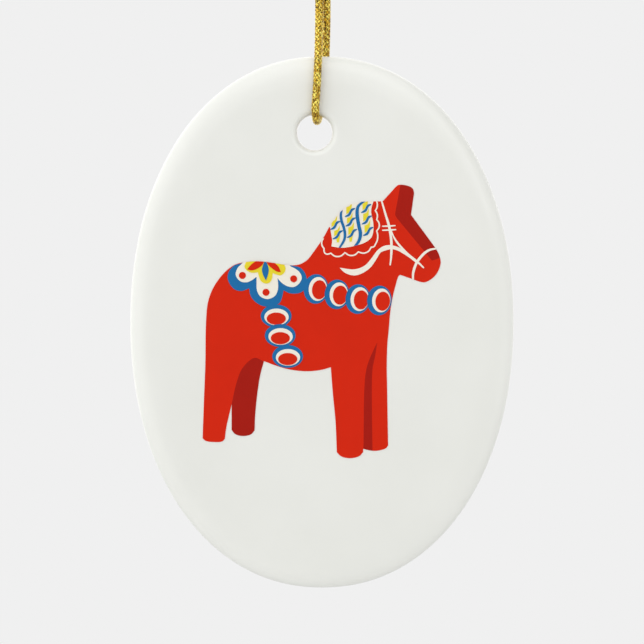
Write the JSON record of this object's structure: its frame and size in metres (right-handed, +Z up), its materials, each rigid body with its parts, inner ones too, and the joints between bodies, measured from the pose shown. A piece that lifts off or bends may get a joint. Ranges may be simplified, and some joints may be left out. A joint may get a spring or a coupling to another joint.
{
  "type": "hanging ornament",
  "caption": "Flat oval glazed ceramic ornament with a printed folk-art wooden horse, hung on a gold braided cord loop through a hole near its top.",
  "frame": {"origin": "hang point: inside of the cord loop's top, just under the knot", "axes": "+Z up, +X to the right across the printed face, the printed face looks towards -Y"},
  "size_m": [0.057, 0.0058, 0.1525],
  "materials": {
    "glaze_white": "white gloss glaze",
    "ink_red": "glossy printed ink",
    "ink_dark_red": "glossy printed ink",
    "ink_blue": "glossy printed ink",
    "ink_yellow": "glossy printed ink",
    "ink_cream": "glossy printed ink",
    "cord_gold": "braided metallic gold cord"
  },
  "bodies": {
    "hanger": {"cord_knot": "cord_gold", "cord_loop_top": "cord_gold"},
    "cord_end": {"cord_loop_bottom": "cord_gold"},
    "ornament": {"ceramic_disc": "glaze_white", "horse_body_red": "ink_red", "hind_leg_shade": "ink_dark_red", "foreleg_shade": "ink_dark_red", "face_shade": "ink_dark_red", "mane_panel": "ink_cream", "mane_yellow_strokes": "ink_yellow", "mane_blue_waves": "ink_blue", "mane_scallop_line": "ink_cream", "bridle_straps": "ink_cream", "noseband": "ink_cream", "rein": "ink_cream", "saddle_blue_scallops": "ink_blue", "saddle_petals": "ink_cream", "saddle_yellow_flames": "ink_yellow", "saddle_red_leaves": "ink_red", "saddle_blue_leaf": "ink_blue", "saddle_red_dots": "ink_red", "breast_rings_blue": "ink_blue", "breast_rings_cream": "ink_cream", "breast_rings_red": "ink_red", "girth_rings_blue": "ink_blue", "girth_rings_cream": "ink_cream", "girth_rings_red": "ink_red"}
  },
  "joints": [
    {"name": "cord_twist", "type": "hinge", "parent": "hanger", "child": "cord_end", "pos_m": [0, 0, -0.051], "axis": [0, 0, 1], "range_deg": [-180, 180]},
    {"name": "ornament_swing", "type": "hinge", "parent": "cord_end", "child": "ornament", "pos_m": [-0.00075, 0, -0.0702], "axis": [0, 1, 0], "range_deg": [-25, 25]}
  ]
}
